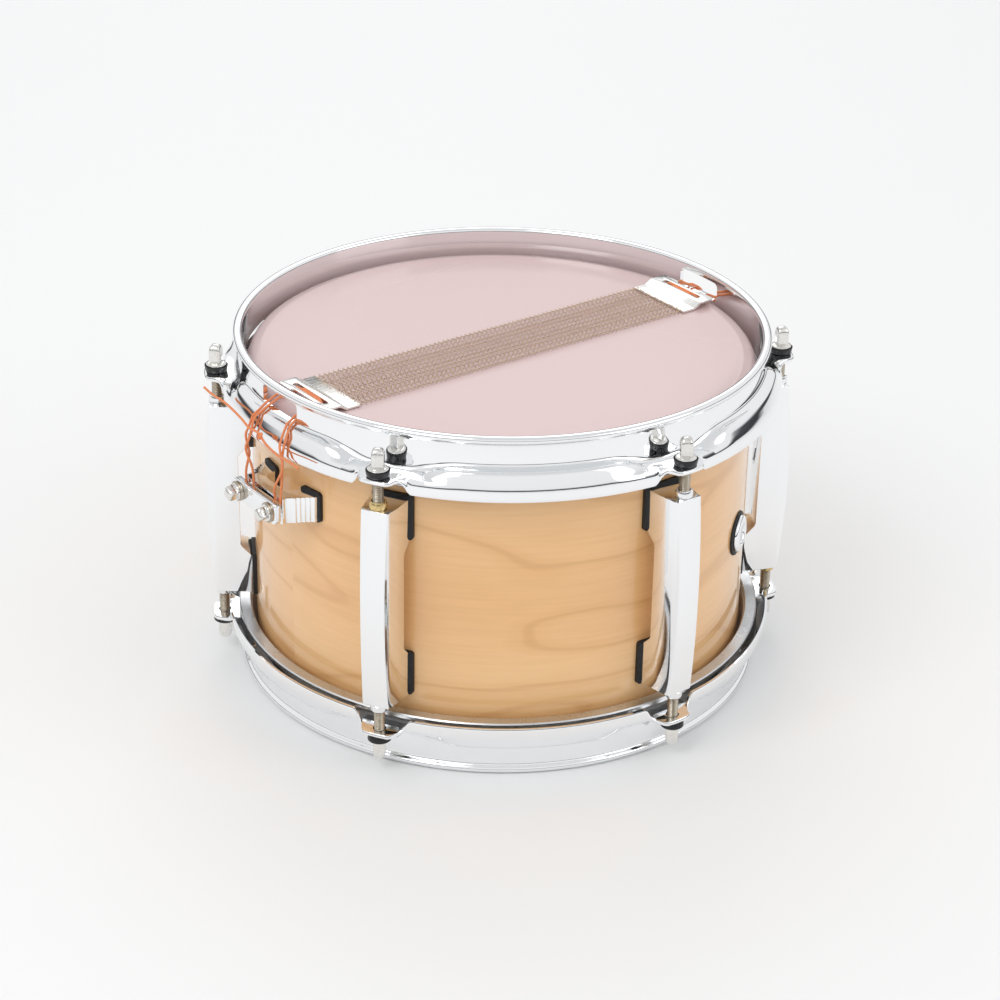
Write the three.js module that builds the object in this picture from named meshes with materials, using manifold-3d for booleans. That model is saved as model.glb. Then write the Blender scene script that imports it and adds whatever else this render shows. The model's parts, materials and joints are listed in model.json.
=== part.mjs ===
// Ten by six inch maple snare drum standing on its batter rim, snare side up.
// Millimetres, +Z up, origin on the drum axis at the batter rim's resting plane, snares along X.
import * as THREE from 'three';
import Module from 'manifold-3d';
import { mergeVertices } from 'three/addons/utils/BufferGeometryUtils.js';

const wasm = await Module();
wasm.setup();
const { Manifold, Mesh: ManifoldMesh } = wasm;

const HEIGHT = 178.8; // rim to rim
const SIDES = 48; // facets of every ring, shared so that neighbouring rings stay parallel
const GAP = 0.3; // running or assembly gap between neighbouring pieces
const SHELL_OUT_R = 125.5;
const SHELL_IN_R = 119.5;
const HEAD_TOP_Z = 166.3; // outer face of the snare side head
const HOOP_IN_R = 129.0;
const RIM_OUT_R = 133.5;
const EAR_TOP_Z = 155.5;
const EAR_BOTTOM_Z = 153.2;
const EAR_OUT_R = 148;
const ROD_CIRCLE_R = 142;
const ROD_R = 2.75;
const ROD_HOLE_R = 3.2;
const LUG_ANGLES = [30, 90, 150, 210, 270, 330];
const LUG_TOP_Z = 141.4;
const LUG_OUT_R = 147.9;
const LUG_BEAM_IN_R = 133;
const LUG_FOOT_R = 125.8;
const GATE_HALF_WIDTH = 14.7;
const GATE_BOTTOM_Z = 163.9;
const GATE_TOP_Z = 173;
const VENT_ANGLE = -56.25;
const VENT_Z = 85;
const VENT_HOLE_R = 6.3;
const CLAMP_Z = [116.5, 127.5]; // cord clamps of the butt and of the strainer
const CLAMP_IN_X = 142.6;
const CLAMP_OUT_X = 146.4;
const CLAMP_HALF_WIDTH = 18.5;
const CORD_GAP_X = 141.0;
const CORD_X = 141.8; // middle of the gap that grips the cords
const SCREW_Y = 13.6;
const SCREW_Z = 122;
const SCREW_R = 2.2;
const LEVER_Z = 103;
const LEVER_PIN_R = 2.2;
const KNOB_X = 136.5;
const CORD_R = 0.6;
const STRAND_END_Z = 125.2;
const SLOT_X = 115; // the end plate's cord slot, before the shift of the snares
const SLOT_Z = 169.4; // middle of the raised plate's thickness
const SLOT_LANE = 0.68; // half the distance between two cords in the slot
const UNDER_PLATE_Z = 167.6; // cords between the head and the raised plate
const SNARE_STRANDS = 20;
const SNARE_PITCH = 2;
const SNARE_X = [-97.7, 100.7];
const SNARE_Z = [166.6, 168.2];
const SNARE_SHIFT = 1.5; // how far the wires sit towards the strainer

const finish = (color, roughness, metalness) =>
  new THREE.MeshStandardMaterial({ color, roughness, metalness });
const CHROME = finish(0xd9dbdd, 0.08, 1);
const STEEL = finish(0x8f8d88, 0.38, 1);
const ALUMINIUM = finish(0xc4c6c8, 0.32, 1);
const MAPLE = finish(0xe6b27a, 0.18, 0);
const FILM = finish(0xe4d2d0, 0.25, 0);
const NYLON = finish(0x17171a, 0.4, 0);
const RUBBER = finish(0x0e0e10, 0.8, 0);
const WIRE = finish(0xa89478, 0.35, 1);
const PLATE = finish(0xd5d2c8, 0.25, 1);
const CORD = finish(0xe2571b, 0.7, 0);

const rad = THREE.MathUtils.degToRad;
const drum = new THREE.Group();
drum.name = 'snare_drum';

function toManifold(geometry) {
  const g = geometry.clone();
  g.deleteAttribute('normal');
  g.deleteAttribute('uv');
  const m = mergeVertices(g, 1e-4);
  const count = m.attributes.position.count;
  const index = m.index ? m.index.array : Uint32Array.from({ length: count }, (_, i) => i);
  const mesh = new ManifoldMesh({
    numProp: 3,
    vertProperties: Float32Array.from(m.attributes.position.array),
    triVerts: Uint32Array.from(index),
  });
  return new Manifold(mesh);
}

function toGeometry(solid) {
  const mesh = solid.getMesh();
  const g = new THREE.BufferGeometry();
  g.setAttribute('position', new THREE.BufferAttribute(mesh.vertProperties, 3));
  g.setIndex(new THREE.BufferAttribute(mesh.triVerts, 1));
  return g;
}

function add(name, solid, material) {
  const geometry = solid.isBufferGeometry ? solid : toGeometry(solid);
  geometry.computeVertexNormals();
  const mesh = new THREE.Mesh(geometry, material);
  mesh.name = name;
  drum.add(mesh);
}

// Solid of revolution about Z from a closed profile of [radius, z] points.
function turned(profile, sides = SIDES) {
  const points = profile.map(([r, z]) => new THREE.Vector2(r, z));
  if (profile[0][0] > 0) {
    points.push(points[0].clone());
  }
  let g = new THREE.LatheGeometry(points, sides);
  g.rotateX(Math.PI / 2);
  let solid = toManifold(g);
  if (solid.volume() < 0) {
    g = g.toNonIndexed();
    const p = g.attributes.position;
    for (let i = 0; i < p.count; i += 3) {
      const a = [p.getX(i), p.getY(i), p.getZ(i)];
      p.setXYZ(i, p.getX(i + 2), p.getY(i + 2), p.getZ(i + 2));
      p.setXYZ(i + 2, ...a);
    }
    solid = toManifold(g);
  }
  return solid;
}

function box(x0, x1, y0, y1, z0, z1) {
  return Manifold.cube([x1 - x0, y1 - y0, z1 - z0]).translate([x0, y0, z0]);
}

// Prism of a closed outline in the XY plane, from z0 to z1.
function prism(outline, z0, z1, holes = []) {
  const shape = new THREE.Shape(outline.map(([x, y]) => new THREE.Vector2(x, y)));
  for (const hole of holes) {
    shape.holes.push(new THREE.Path(hole.map(([x, y]) => new THREE.Vector2(x, y))));
  }
  const g = new THREE.ExtrudeGeometry(shape, { depth: z1 - z0, bevelEnabled: false });
  g.translate(0, 0, z0);
  return toManifold(g);
}

// Outline in the XZ plane, carried from y0 to y1.
function sidePrism(outline, y0, y1) {
  return prism(outline, -y1, -y0).rotate([90, 0, 0]);
}

// Outline in the YZ plane, carried from x0 to x1.
function frontPrism(outline, x0, x1, holes = []) {
  return prism(outline, x0, x1, holes).rotate([90, 0, 90]);
}

function rounded(halfWidth, low, high, corner, steps = 3) {
  const outline = [];
  const centres = [
    [halfWidth - corner, high - corner, 0],
    [-halfWidth + corner, high - corner, 90],
    [-halfWidth + corner, low + corner, 180],
    [halfWidth - corner, low + corner, 270],
  ];
  for (const [cx, cy, start] of centres) {
    for (let i = 0; i <= steps; i += 1) {
      const a = rad(start + (90 * i) / steps);
      outline.push([cx + corner * Math.cos(a), cy + corner * Math.sin(a)]);
    }
  }
  return outline;
}

// Rod of circular section along X, centred at y, z.
function rodX(x0, x1, r, y, z, sides = 16) {
  return Manifold.cylinder(x1 - x0, r, r, sides).rotate([0, 90, 0]).translate([x0, y, z]);
}

const mirrorZ = (solid) => solid.mirror([0, 0, 1]).translate([0, 0, HEIGHT]);
const mirrorX = (solid) => solid.mirror([1, 0, 0]);
const spin = (solid, degrees) => solid.rotate([0, 0, degrees]);

// Shell with a bearing edge at each end, shallow snare beds and the vent's hole.
function shell() {
  const edge = [
    [SHELL_OUT_R, 162.6],
    [124.4, 164.9],
    [123.5, 165.6],
    [SHELL_IN_R, 162.1],
  ];
  const low = edge.map(([r, z]) => [r, HEIGHT - z]).reverse();
  const bed = rodX(-150, 150, 300, 0, 464, 96);
  const hole = spin(rodX(110, 135, VENT_HOLE_R, 0, VENT_Z, 20), VENT_ANGLE);
  return turned([...low, ...edge]).subtract(bed).subtract(hole);
}

// Drum head: flat film with a collar that turns down over the bearing edge.
function head() {
  return turned([
    [0, HEAD_TOP_Z - 0.4],
    [123.3, 165.9],
    [125.1, 164.9],
    [127.6, 156.5],
    [128.0, 156.5],
    [125.5, 165.0],
    [123.5, HEAD_TOP_Z],
    [0, HEAD_TOP_Z],
  ]);
}

function fleshHoop() {
  return turned([
    [128.4, 150.3],
    [134.0, 150.3],
    [134.6, 150.9],
    [134.6, 159.7],
    [134.0, 160.3],
    [128.4, 160.3],
  ]);
}

// Counterhoop: rolled rim, wall, ledge, sloping band and skirt, with an ear at each rod.
function hoop(gates) {
  let solid = turned([
    [HOOP_IN_R, 160.7],
    [HOOP_IN_R, 178.0],
    [129.8, HEIGHT],
    [132.6, HEIGHT],
    [RIM_OUT_R, 177.9],
    [RIM_OUT_R, 176.3],
    [131.3, 175.0],
    [131.3, 163.7],
    [136.4, 162.4],
    [139.5, 156.3],
    [140.2, 149.7],
    [138.0, 149.7],
    [137.6, EAR_BOTTOM_Z],
    [134.9, EAR_BOTTOM_Z],
    [134.9, 160.7],
  ]);
  for (const angle of LUG_ANGLES) {
    const notch = box(137.2, 143, -9, 9, 149, EAR_BOTTOM_Z + GAP);
    const ear = prism([
      [136, -14.5],
      [138.6, -13],
      [141.5, -9.4],
      [146.5, -8.5],
      [EAR_OUT_R, -6.6],
      [EAR_OUT_R, 6.6],
      [146.5, 8.5],
      [141.5, 9.4],
      [138.6, 13],
      [136, 14.5],
    ], EAR_BOTTOM_Z, EAR_TOP_Z + 0.5);
    const pocket = box(136.5, 150, -15, 15, EAR_TOP_Z, 165);
    const hole = Manifold.cylinder(20, ROD_HOLE_R, ROD_HOLE_R, 16).translate([ROD_CIRCLE_R, 0, 145]);
    solid = solid.subtract(spin(notch, angle));
    solid = solid.add(spin(ear, angle));
    solid = solid.subtract(spin(pocket.add(hole), angle));
  }
  if (gates) {
    const outline = rounded(GATE_HALF_WIDTH, GATE_BOTTOM_Z, GATE_TOP_Z, 2.4);
    const gate = frontPrism(outline, 125, 131.9);
    solid = solid.subtract(gate).subtract(mirrorX(gate));
  }
  return solid;
}

// Tube lug: a bowed bar on two feet, bored at both ends for the rods.
function lug() {
  const low = HEIGHT - LUG_TOP_Z;
  const side = [
    [LUG_FOOT_R, low],
    [145.9, low],
    [146.7, low + 0.8],
    [147.6, 60],
    [LUG_OUT_R, 80],
    [LUG_OUT_R, 98.8],
    [147.6, 118.8],
    [146.7, LUG_TOP_Z - 0.8],
    [145.9, LUG_TOP_Z],
    [LUG_FOOT_R, LUG_TOP_Z],
    [LUG_FOOT_R, LUG_TOP_Z - 20],
    [LUG_BEAM_IN_R, LUG_TOP_Z - 27],
    [LUG_BEAM_IN_R, low + 27],
    [LUG_FOOT_R, low + 20],
  ];
  const plan = [
    [120, -9],
    [135, -9],
    [147.2, -7.6],
    [150, -5.4],
    [150, 5.4],
    [147.2, 7.6],
    [135, 9],
    [120, 9],
  ];
  const bore = Manifold.cylinder(30, ROD_HOLE_R, ROD_HOLE_R, 16);
  const top = bore.translate([ROD_CIRCLE_R, 0, LUG_TOP_Z - 20]);
  return sidePrism(side, -12, 12)
    .intersect(prism(plan, 0, HEIGHT))
    .subtract(top)
    .subtract(mirrorZ(top));
}

// Tension rod: threaded shank, flange and square head.
function rod() {
  const shank = turned([
    [0, 125],
    [2.1, 125],
    [ROD_R, 125.8],
    [ROD_R, 160.9],
    [5.2, 160.9],
    [5.2, 162.4],
    [0, 162.4],
  ], 12);
  const head4 = Manifold.cylinder(8.4, 3 * Math.SQRT2, 3 * Math.SQRT2, 4).translate([0, 0, 162.2]);
  const dome = Manifold.cylinder(1.4, 3 * Math.SQRT2, 2 * Math.SQRT2, 4).translate([0, 0, 170.6]);
  const head45 = head4.add(dome).rotate([0, 0, 45]);
  return shank.add(head45).translate([ROD_CIRCLE_R, 0, 0]);
}

function washer() {
  const ring = Manifold.cylinder(4.8, 5.2, 5.2, 12);
  const hole = Manifold.cylinder(8, 3.15, 3.15, 12).translate([0, 0, -1]);
  return ring.subtract(hole).translate([ROD_CIRCLE_R, 0, EAR_TOP_Z + GAP]);
}

// Solid left between the radii of two coaxial rings, inside a block.
function curvedPad(block, innerR, outerR) {
  return block.intersect(turned([
    [innerR, 20],
    [outerR, 20],
    [outerR, 160],
    [innerR, 160],
  ]));
}

function hollowedBack(block, innerR) {
  return block.subtract(Manifold.cylinder(200, innerR, innerR, SIDES));
}

function clampPlate() {
  const outline = rounded(CLAMP_HALF_WIDTH, CLAMP_Z[0], CLAMP_Z[1], 1.5, 2);
  let plate = frontPrism(outline, CLAMP_IN_X, CLAMP_OUT_X);
  for (const side of [-1, 1]) {
    plate = plate.subtract(rodX(140, 150, SCREW_R + GAP, side * SCREW_Y, SCREW_Z, 12));
  }
  return plate;
}

// Square-headed clamp screw with its lock washer.
function clampScrew(side) {
  const shank = rodX(136.6, 147, SCREW_R, 0, 0, 12);
  const collar = rodX(146.7, 148.2, 5, 0, 0, 16);
  const headBox = box(148.1, 153.5, -3, 3, -3, 3);
  return shank.add(collar).add(headBox).translate([0, side * SCREW_Y, SCREW_Z]);
}

function screwBores(solid) {
  let bored = solid;
  for (const side of [-1, 1]) {
    bored = bored.subtract(rodX(136.3, 145, SCREW_R + GAP, side * SCREW_Y, SCREW_Z, 12));
  }
  return bored;
}

// Butt: a block whose sides scoop in towards the front.
function buttBase() {
  const plan = [
    [118, -23.5],
    [128.2, -23.5],
    [130.5, -20.6],
    [134.5, -18.2],
    [CORD_GAP_X, -17],
    [CORD_GAP_X, 17],
    [134.5, 18.2],
    [130.5, 20.6],
    [128.2, 23.5],
    [118, 23.5],
  ];
  return screwBores(hollowedBack(prism(plan, 114.8, 127.8), 127.3));
}

// Strainer base with the bearing hole of the throw-off lever.
function strainerBase() {
  const outline = rounded(19, 96, 134, 3);
  const block = hollowedBack(frontPrism(outline, 118, 133.5), 127.3);
  return block.subtract(rodX(129.2, 140, LEVER_PIN_R + GAP, 0, LEVER_Z, 16));
}

// Carriage that lifts on the strainer, with a slotted tongue around the lever's pin.
function strainerCarriage() {
  const body = frontPrism(rounded(16.5, 112, 127.8, 1.5, 2), 133.8, CORD_GAP_X);
  const tongue = box(133.8, 140.8, -8, 8, 91, 113);
  const slot = box(130, 145, -3, 3, 94, 107);
  return screwBores(body.add(tongue).subtract(slot));
}

function strainerLever() {
  const hub = rodX(CORD_GAP_X + 0.1, 148.4, 8, 0, LEVER_Z, 24);
  const arm = frontPrism([
    [-5.5, 104],
    [-4.2, 68],
    [-5.6, 63],
    [-3.4, 60],
    [3.4, 60],
    [5.6, 63],
    [4.2, 68],
    [5.5, 104],
  ], 144.5, 149);
  const pin = rodX(129.5, 145, LEVER_PIN_R, 0, LEVER_Z, 16);
  return hub.add(arm).add(pin);
}

function tensionKnob() {
  return turned([
    [0, 74],
    [5.6, 74],
    [6.5, 75],
    [6.5, 86],
    [5.2, 88],
    [2.5, 88.6],
    [2.5, 90.7],
    [0, 90.7],
  ], 20).translate([KNOB_X, 0, 0]);
}

// Snare end plate: low inner strip, step and raised outer part with the cord slots.
function endPlate() {
  const low = HEAD_TOP_Z + GAP;
  const profile = [
    [99.5, low],
    [107.6, low],
    [111.2, low + 2.3],
    [120.5, low + 2.3],
    [120.5, low + 3.3],
    [110.8, low + 3.3],
    [107.2, low + 1],
    [99.5, low + 1],
  ];
  const slot = prism(rounded(14, -1.5, 1.5, 1.4, 2), 165, 172).rotate([0, 0, 90]).translate([SLOT_X, 0, 0]);
  return sidePrism(profile, -20, 20).subtract(slot);
}

// Snare wires: parallel strands joined across both ends.
function snareWires() {
  const half = ((SNARE_STRANDS - 1) * SNARE_PITCH) / 2;
  const wireR = 0.7;
  const [x0, x1] = SNARE_X;
  const outline = [
    [x0, -half - wireR],
    [x1, -half - wireR],
    [x1, half + wireR],
    [x0, half + wireR],
  ];
  const gaps = [];
  for (let i = 0; i < SNARE_STRANDS - 1; i += 1) {
    const y = -half + SNARE_PITCH * i;
    gaps.push([
      [x0 + 2, y + wireR],
      [x0 + 2, y + SNARE_PITCH - wireR],
      [x1 - 2, y + SNARE_PITCH - wireR],
      [x1 - 2, y + wireR],
    ]);
  }
  return prism(outline, SNARE_Z[0], SNARE_Z[1] - 0.2, gaps);
}

function cordTube(route, steps) {
  const curve = new THREE.CatmullRomCurve3(route.map((p) => new THREE.Vector3(...p)), false, 'centripetal');
  const section = new THREE.Shape();
  for (let i = 0; i < 8; i += 1) {
    const a = (i / 8) * 2 * Math.PI;
    const p = [CORD_R * Math.cos(a), CORD_R * Math.sin(a)];
    if (i === 0) {
      section.moveTo(...p);
    } else {
      section.lineTo(...p);
    }
  }
  return new THREE.ExtrudeGeometry(section, { steps, extrudePath: curve, bevelEnabled: false });
}

// Route of a cord loop: a strand from the clamp to the end plate, a run along the plate's slot
// and the other strand back; dir is -1 at the butt and 1 at the strainer, and rise is where
// the loop comes up through the slot from under the plate.
function loopRoute(dir, left, right, lane, rise) {
  const slotX = SLOT_X + dir * SNARE_SHIFT;
  const inSlot = (side) => [
    [dir * (slotX + 10), side * (rise + 0.2), UNDER_PLATE_Z - 0.3],
    [dir * (slotX + 4), side * (rise + 0.2), UNDER_PLATE_Z],
    [dir * (slotX + lane + 0.5), side * rise, UNDER_PLATE_Z + 0.4],
    [dir * (slotX + lane), side * (rise - 1.2), UNDER_PLATE_Z + 1.2],
    [dir * (slotX + lane), side * (rise - 3), SLOT_Z],
  ];
  const placed = (strand) => strand.map(([x, y, z]) => [dir * x, y, z]);
  return [
    ...placed(left),
    ...inSlot(1),
    [dir * (slotX + lane), 0, SLOT_Z],
    ...inSlot(-1).reverse(),
    ...placed(right).reverse(),
  ];
}

add('shell', shell(), MAPLE);
add('snare_head_film', head(), FILM);
add('snare_flesh_hoop', fleshHoop(), ALUMINIUM);
add('batter_head_film', mirrorZ(head()), FILM);
add('batter_flesh_hoop', mirrorZ(fleshHoop()), ALUMINIUM);
add('snare_side_hoop', hoop(true), CHROME);
add('batter_side_hoop', mirrorZ(hoop(false)), CHROME);
LUG_ANGLES.forEach((angle, i) => {
  const n = i + 1;
  add(`lug_${n}`, spin(lug(), angle), CHROME);
  add(`snare_side_rod_${n}`, spin(rod(), angle), STEEL);
  add(`batter_side_rod_${n}`, spin(mirrorZ(rod()), angle), STEEL);
  add(`snare_side_washer_${n}`, spin(washer(), angle), NYLON);
  add(`batter_side_washer_${n}`, spin(mirrorZ(washer()), angle), NYLON);
});

const ventGasket = Manifold.cylinder(0.8, 11.5, 11.5, 24)
  .subtract(Manifold.cylinder(3, VENT_HOLE_R, VENT_HOLE_R, 20).translate([0, 0, -1]));
const vent = turned([
  [4.6, 116],
  [5.9, 116],
  [5.9, 126.6],
  [9.2, 126.6],
  [9.6, 127.2],
  [8.6, 128.3],
  [5.6, 128.8],
  [4.6, 128.2],
], 20);
const toSide = (solid) => spin(solid.rotate([0, 90, 0]).translate([0, 0, VENT_Z]), VENT_ANGLE);
add('air_vent', toSide(vent), CHROME);
add('air_vent_gasket', toSide(ventGasket.translate([0, 0, 125.5])), RUBBER);

const pad = (halfWidth, z0, z1) =>
  curvedPad(box(118, 135, -halfWidth, halfWidth, z0, z1), SHELL_OUT_R + GAP, 127.0);
add('butt_gasket', mirrorX(pad(24, 114, 129.5)), RUBBER);
add('butt_base', mirrorX(buttBase()), CHROME);
add('butt_clamp_plate', mirrorX(clampPlate()), CHROME);
add('butt_screw_1', mirrorX(clampScrew(1)), STEEL);
add('butt_screw_2', mirrorX(clampScrew(-1)), STEEL);

add('strainer_gasket', pad(20, 95.2, 134.8), RUBBER);
add('strainer_base', strainerBase(), CHROME);
add('strainer_carriage', strainerCarriage(), CHROME);
add('strainer_clamp_plate', clampPlate(), CHROME);
add('strainer_screw_1', clampScrew(1), STEEL);
add('strainer_screw_2', clampScrew(-1), STEEL);
add('strainer_lever', strainerLever(), CHROME);
add('tension_knob', tensionKnob(), CHROME);

add('snare_end_plate_butt', mirrorX(endPlate()).translate([SNARE_SHIFT, 0, 0]), PLATE);
add('snare_end_plate_strainer', endPlate().translate([SNARE_SHIFT, 0, 0]), PLATE);
add('snare_wires', snareWires(), WIRE);

// Strands run from the clamp over the skirt and the ledge to the hoop's gate, as distance from
// the drum's axis along X, then Y and Z; crossing strands keep different distances.
const buttOuterLeft = [
  [CORD_X, 13.4, STRAND_END_Z],
  [CORD_X, 14, 130.5],
  [141.4, 12.8, 136.5],
  [141.1, 11.4, 141.5],
  [141, 13.4, 145.5],
  [141, 14.4, 150],
  [141, 11, 156],
  [139, 10.6, 160.9],
  [135.5, 9.6, 164],
  [131.5, 11.4, 165],
];
const buttOuterRight = [
  [CORD_X, -16.4, STRAND_END_Z],
  [141.6, -16.8, 131],
  [141, -17.2, 138.5],
  [140.8, -17.6, 149.8],
  [140, -18, 156],
  [138, -17.4, 160.9],
  [134.6, -15.4, 164],
  [131.2, -13.4, 165],
];
const buttInnerLeft = [
  [CORD_X, 7.2, STRAND_END_Z],
  [CORD_X, 7.2, 131],
  [142, 8.4, 136.5],
  [142.6, 11.4, 141.8],
  [142.6, 12, 145.2],
  [142.3, 9.8, 149.5],
  [141.6, 7.8, 156],
  [139.4, 8.4, 161],
  [135.5, 7.4, 164],
  [131.5, 8.6, 165],
];
const buttInnerRight = [
  [CORD_X, -13.2, STRAND_END_Z],
  [142, -11.6, 130.2],
  [142.3, -13.8, 135.4],
  [142.6, -17.6, 141],
  [142.4, -20.2, 146.2],
  [142, -18.8, 152],
  [141.3, -16.4, 156],
  [138.6, -15.2, 160.9],
  [135.2, -13.2, 164],
  [131.2, -11, 165],
];
const strainerStrand = (clampY, skirtY, gateY) => [
  [CORD_X, clampY, STRAND_END_Z],
  [CORD_X, clampY, 131],
  [141.6, skirtY, 145],
  [141, skirtY, 156],
  [138.6, skirtY, 161],
  [135, gateY, 164],
  [131.5, gateY, 165],
];
const LOOP_STEPS = 56;
const outerLoop = (dir, left, right) => cordTube(loopRoute(dir, left, right, SLOT_LANE, 12.6), LOOP_STEPS);
const innerLoop = (dir, left, right) => cordTube(loopRoute(dir, left, right, -SLOT_LANE, 9.2), LOOP_STEPS);
add('butt_cord_1', outerLoop(-1, buttOuterLeft, buttOuterRight), CORD);
add('butt_cord_2', innerLoop(-1, buttInnerLeft, buttInnerRight), CORD);
add('butt_cord_tail', cordTube([
  [-137.9, 57.5, 157.6],
  [-140, 47, 158.6],
  [-142, 30, 160.4],
  [-143.2, 14.5, 159],
  [-143.8, 6.5, 157.4],
  [-144, -2, 158],
  [-144, -8, 155],
  [-143.6, -18, 152.8],
  [-143.2, -28, 153],
  [-142.8, -35, 152.3],
], 24), CORD);
const strainerOuter = [strainerStrand(9.6, 11.6, 12), strainerStrand(-9.6, -11.6, -12)];
const strainerInner = [strainerStrand(7.2, 9.2, 9.4), strainerStrand(-7.2, -9.2, -9.4)];
add('strainer_cord_1', outerLoop(1, ...strainerOuter), CORD);
add('strainer_cord_2', innerLoop(1, ...strainerInner), CORD);

export default drum;
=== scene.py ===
"""Ten by six inch maple snare drum, snare side up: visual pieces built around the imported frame."""
import json
import math

import bmesh
import bpy
from mathutils import Matrix, Vector


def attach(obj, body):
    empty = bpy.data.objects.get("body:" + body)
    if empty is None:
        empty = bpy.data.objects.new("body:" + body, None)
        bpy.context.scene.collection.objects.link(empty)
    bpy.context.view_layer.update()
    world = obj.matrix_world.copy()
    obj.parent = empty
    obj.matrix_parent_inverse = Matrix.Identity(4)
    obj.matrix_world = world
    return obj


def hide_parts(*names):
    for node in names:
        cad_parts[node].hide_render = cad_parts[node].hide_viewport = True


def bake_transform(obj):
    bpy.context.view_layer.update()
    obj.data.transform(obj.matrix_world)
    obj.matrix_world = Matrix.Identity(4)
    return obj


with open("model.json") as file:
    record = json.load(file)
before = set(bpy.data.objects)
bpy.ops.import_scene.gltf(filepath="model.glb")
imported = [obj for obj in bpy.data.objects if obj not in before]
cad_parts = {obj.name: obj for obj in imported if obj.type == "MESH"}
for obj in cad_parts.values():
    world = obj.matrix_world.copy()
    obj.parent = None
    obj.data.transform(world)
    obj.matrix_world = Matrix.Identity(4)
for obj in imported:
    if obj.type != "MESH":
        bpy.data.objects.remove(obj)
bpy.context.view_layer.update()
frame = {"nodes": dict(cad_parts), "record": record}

scene = bpy.context.scene

# Angles are degrees. The drum's axis is Z, its batter side is down, and its butt is at -X.
MM = 0.001
HEIGHT = 178.8
SHELL_R = 125.5
ROD_R = 142.0  # circle of the tension rods
LUG_ANGLES = [30, 90, 150, 210, 270, 330]
LUG_TOP = 141.4
LUG_SCREW_Z = 131
VENT_ANGLE, VENT_Z = -56.25, 85
CLAMP_SCREW_Y, CLAMP_SCREW_Z = 13.6, 122
SNARE_SHIFT = 1.5  # how far the snares lie towards the throw-off
WIDE_STEPS = 240  # facets of what goes right round the shell
ROOT, CARRIAGE = "drum", "throw_off_carriage"


def turn(degrees):
    return Matrix.Rotation(math.radians(degrees), 4, "Z")


def move_by(x=0, y=0, z=0):
    return Matrix.Translation((x * MM, y * MM, z * MM))


SAME = Matrix()
FLIP = move_by(z=HEIGHT) @ Matrix.Diagonal((1, 1, -1, 1))  # snare side to batter side
MIRROR_X = Matrix.Diagonal((-1, 1, 1, 1))  # throw-off side to butt side
Z_TO_X = Matrix.Rotation(math.pi / 2, 4, "Y")
TO_ROD = move_by(x=ROD_R)
AT_VENT = turn(VENT_ANGLE) @ move_by(z=VENT_Z) @ Z_TO_X


# ---------------------------------------------------------------- camera
LENS, SENSOR_WIDTH = 93.13, 36
LENS_SHIFT = (0.0002, -0.0158)
CAMERA_AZIMUTH, CAMERA_ELEVATION, CAMERA_ROLL = -127.0, 26.68, 1.0
CAMERA_TARGET, CAMERA_DISTANCE = (0, 0, 0.089), 1.3242


def make_camera():
    data = bpy.data.cameras.new("camera")
    data.lens, data.sensor_width = LENS, SENSOR_WIDTH
    data.shift_x, data.shift_y = LENS_SHIFT
    cam = bpy.data.objects.new("camera", data)
    scene.collection.objects.link(cam)
    azimuth, elevation = math.radians(CAMERA_AZIMUTH), math.radians(CAMERA_ELEVATION)
    back = Vector((math.cos(azimuth) * math.cos(elevation),
                   math.sin(azimuth) * math.cos(elevation), math.sin(elevation)))
    cam.location = Vector(CAMERA_TARGET) + back * CAMERA_DISTANCE
    cam.rotation_mode = "QUATERNION"
    cam.rotation_quaternion = (-back).to_track_quat("-Z", "Y") @ turn(CAMERA_ROLL).to_quaternion()
    scene.camera = cam


make_camera()


# ---------------------------------------------------------------- materials
def material(name, base, rough, metal=0.0, **sockets):
    m = bpy.data.materials.new(name)
    m.use_nodes = True
    b = m.node_tree.nodes["Principled BSDF"]
    b.inputs["Base Color"].default_value = (*base, 1)
    b.inputs["Roughness"].default_value = rough
    b.inputs["Metallic"].default_value = metal
    for key, value in sockets.items():
        b.inputs[key.replace("_", " ")].default_value = value
    return m, b, m.node_tree


def node(tree, kind, **values):
    n = tree.nodes.new(kind)
    for key, value in values.items():
        if key in n.inputs.keys():
            n.inputs[key].default_value = value
        else:
            setattr(n, key, value)
    return n


def coords(tree, scale=(1, 1, 1)):
    tex = node(tree, "ShaderNodeTexCoord")
    mapping = node(tree, "ShaderNodeMapping")
    mapping.inputs["Scale"].default_value = scale
    tree.links.new(tex.outputs["Object"], mapping.inputs["Vector"])
    return mapping.outputs["Vector"]


def noise(tree, vector, scale, detail=3.0, rough=0.5):
    n = node(tree, "ShaderNodeTexNoise", Scale=scale, Detail=detail, Roughness=rough)
    tree.links.new(vector, n.inputs["Vector"])
    return n.outputs["Fac"]


def spread(tree, value, low, high, at=(0.3, 0.7)):
    """The value mapped so that the range given by at becomes low to high."""
    n = node(tree, "ShaderNodeMapRange")
    n.inputs["From Min"].default_value, n.inputs["From Max"].default_value = at
    n.inputs["To Min"].default_value, n.inputs["To Max"].default_value = low, high
    tree.links.new(value, n.inputs["Value"])
    return n.outputs["Result"]


def ramp(tree, value, stops):
    n = node(tree, "ShaderNodeValToRGB")
    elements = n.color_ramp.elements
    while len(elements) < len(stops):
        elements.new(0.5)
    for e, (pos, colour) in zip(elements, stops):
        e.position, e.color = pos, (*colour, 1)
    tree.links.new(value, n.inputs["Fac"])
    return n.outputs["Color"]


def maths(tree, operation, *values):
    """Maths node whose inputs are outputs of other nodes or numbers."""
    n = node(tree, "ShaderNodeMath", operation=operation)
    for socket, value in zip(n.inputs, values):
        if isinstance(value, (int, float)):
            socket.default_value = value
        else:
            tree.links.new(value, socket)
    return n.outputs[0]


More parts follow.
